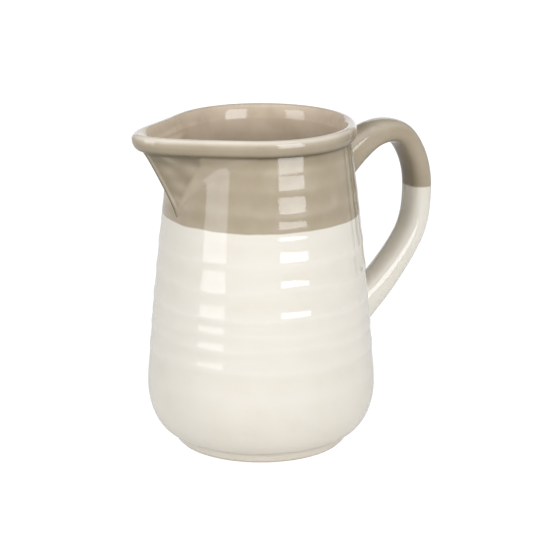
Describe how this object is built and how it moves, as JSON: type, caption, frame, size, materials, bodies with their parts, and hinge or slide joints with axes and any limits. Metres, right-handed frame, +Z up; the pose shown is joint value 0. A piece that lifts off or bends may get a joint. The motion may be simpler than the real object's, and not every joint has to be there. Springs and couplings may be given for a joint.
{
  "type": "stoneware pitcher",
  "caption": "Two-tone glazed stoneware jug with a round foot ring, ribbed tapering wall, rolled rim, beak spout and looped side handle.",
  "frame": {"origin": "centre of the foot ring's bearing face, on the surface that the jug stands on", "axes": "+Z up, through the middle of the round body; +X towards the handle, -X towards the tip of the spout; the XZ plane is the jug's plane of symmetry"},
  "size_m": [0.2141, 0.1414, 0.2018],
  "materials": {
    "bare_stoneware": "unglazed buff stoneware, fine and matt",
    "cream_glaze": "glossy cream glaze",
    "taupe_glaze": "glossy taupe glaze, paler where it thins over edges",
    "taupe_liner": "glossy rosy taupe liner glaze"
  },
  "bodies": {
    "root": {"body": "bare_stoneware", "foot_ring": "bare_stoneware", "rolled_rim": "bare_stoneware", "spout": "bare_stoneware", "handle": "bare_stoneware", "upper_handle_joint": "bare_stoneware", "lower_handle_joint": "bare_stoneware", "cream_body_glaze": "cream_glaze", "taupe_neck_glaze": "taupe_glaze", "taupe_rim_glaze": "taupe_glaze", "taupe_spout_glaze": "taupe_glaze", "taupe_liner_glaze": "taupe_liner", "taupe_handle_glaze": "taupe_glaze", "cream_handle_glaze": "cream_glaze", "cream_base_glaze": "cream_glaze"}
  },
  "joints": []
}
